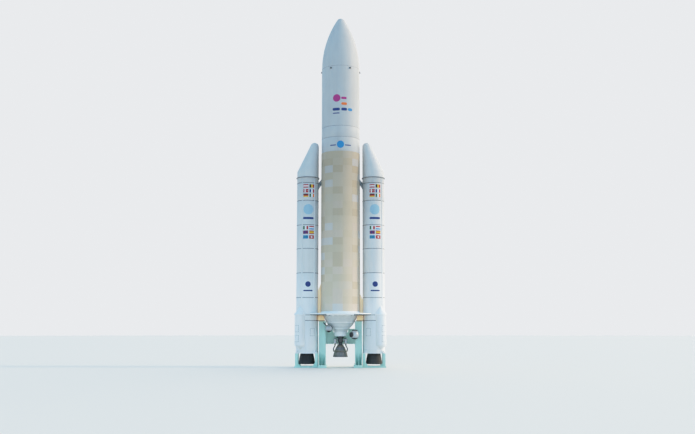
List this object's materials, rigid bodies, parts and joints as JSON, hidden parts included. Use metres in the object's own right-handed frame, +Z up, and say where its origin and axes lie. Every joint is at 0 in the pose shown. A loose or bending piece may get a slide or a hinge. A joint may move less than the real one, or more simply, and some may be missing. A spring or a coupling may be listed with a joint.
{
  "type": "1:2 scale model of a space rocket with two strap-on boosters",
  "caption": "Space launcher with a hollow split fairing, insulated core, two strap-on boosters, gimballed nozzles and a plinth under its base.",
  "frame": {"origin": "on the floor, under the middle of the whole model", "axes": "+Z up along the core, boosters along X, front towards -Y"},
  "size_m": [6.38, 4.45, 25.0008],
  "materials": {
    "white_paint": "satin white paint, slightly weathered",
    "foam": "matte beige insulation laid in rectangular panels of slightly different tints",
    "beige_paint": "matte beige paint",
    "grey_paint": "satin pale blue-grey paint",
    "dark_steel": "dark weathered steel",
    "silver": "polished light metal",
    "nozzle_metal": "heat-tinted metal",
    "nozzle_carbon": "matte black carbon composite",
    "teal_paint": "satin pale teal paint"
  },
  "bodies": {
    "root": {"core_tank": "foam", "upper_skirt": "white_paint", "equipment_bay": "white_paint", "payload_adapter": "grey_paint", "supply_line": "white_paint", "base_deck": "white_paint", "thrust_frame": "grey_paint", "gimbal_shroud": "grey_paint", "helium_sphere": "silver", "pressure_flask": "silver", "gap_fin_l": "beige_paint", "gap_fin_r": "beige_paint", "aft_bracket_l": "beige_paint", "aft_bracket_r": "beige_paint", "forward_strut_l": "dark_steel", "forward_strut_r": "dark_steel", "pylon_l": "teal_paint", "pylon_r": "teal_paint", "crossbeam": "teal_paint", "nose_cone_l": "white_paint", "forward_skirt_l": "white_paint", "forward_segment_l": "white_paint", "centre_segment_l": "white_paint", "aft_segment_l": "white_paint", "aft_skirt_l": "white_paint", "pod_l": "white_paint", "cable_duct_l1": "white_paint", "cable_duct_l2": "white_paint", "booster_stand_l": "teal_paint", "nose_cone_r": "white_paint", "forward_skirt_r": "white_paint", "forward_segment_r": "white_paint", "centre_segment_r": "white_paint", "aft_segment_r": "white_paint", "aft_skirt_r": "white_paint", "pod_r": "white_paint", "cable_duct_r1": "white_paint", "cable_duct_r2": "white_paint", "booster_stand_r": "teal_paint"},
    "fairing_left": {"fairing_half_l": "white_paint"},
    "fairing_right": {"fairing_half_r": "white_paint"},
    "engine_cross": {"main_gimbal": "dark_steel"},
    "engine": {"main_engine": "dark_steel", "main_nozzle": "nozzle_metal", "oxygen_pump": "silver", "hydrogen_pump": "silver", "exhaust_pipe_l": "nozzle_metal", "exhaust_pipe_r": "nozzle_metal"},
    "left_cross": {"nozzle_gimbal_l": "dark_steel"},
    "left_nozzle": {"booster_nozzle_l": "nozzle_carbon"},
    "right_cross": {"nozzle_gimbal_r": "dark_steel"},
    "right_nozzle": {"booster_nozzle_r": "nozzle_carbon"}
  },
  "joints": [
    {"name": "fairing_left_release", "type": "slide", "parent": "root", "child": "fairing_left", "axis": [-1, 0, 0], "range_m": [0, 1.5]},
    {"name": "fairing_right_release", "type": "slide", "parent": "root", "child": "fairing_right", "axis": [1, 0, 0], "range_m": [0, 1.5]},
    {"name": "engine_pitch", "type": "hinge", "parent": "root", "child": "engine_cross", "pos_m": [0, 0, 2.21], "axis": [1, 0, 0], "range_deg": [-6, 6]},
    {"name": "engine_yaw", "type": "hinge", "parent": "engine_cross", "child": "engine", "pos_m": [0, 0, 2.21], "axis": [0, 1, 0], "range_deg": [-6, 6]},
    {"name": "left_nozzle_pitch", "type": "hinge", "parent": "root", "child": "left_cross", "pos_m": [-2.315, 0, 1.55], "axis": [1, 0, 0], "range_deg": [-6, 6]},
    {"name": "left_nozzle_yaw", "type": "hinge", "parent": "left_cross", "child": "left_nozzle", "pos_m": [-2.315, 0, 1.55], "axis": [0, 1, 0], "range_deg": [-6, 6]},
    {"name": "right_nozzle_pitch", "type": "hinge", "parent": "root", "child": "right_cross", "pos_m": [2.315, 0, 1.55], "axis": [1, 0, 0], "range_deg": [-6, 6]},
    {"name": "right_nozzle_yaw", "type": "hinge", "parent": "right_cross", "child": "right_nozzle", "pos_m": [2.315, 0, 1.55], "axis": [0, 1, 0], "range_deg": [-6, 6]}
  ]
}
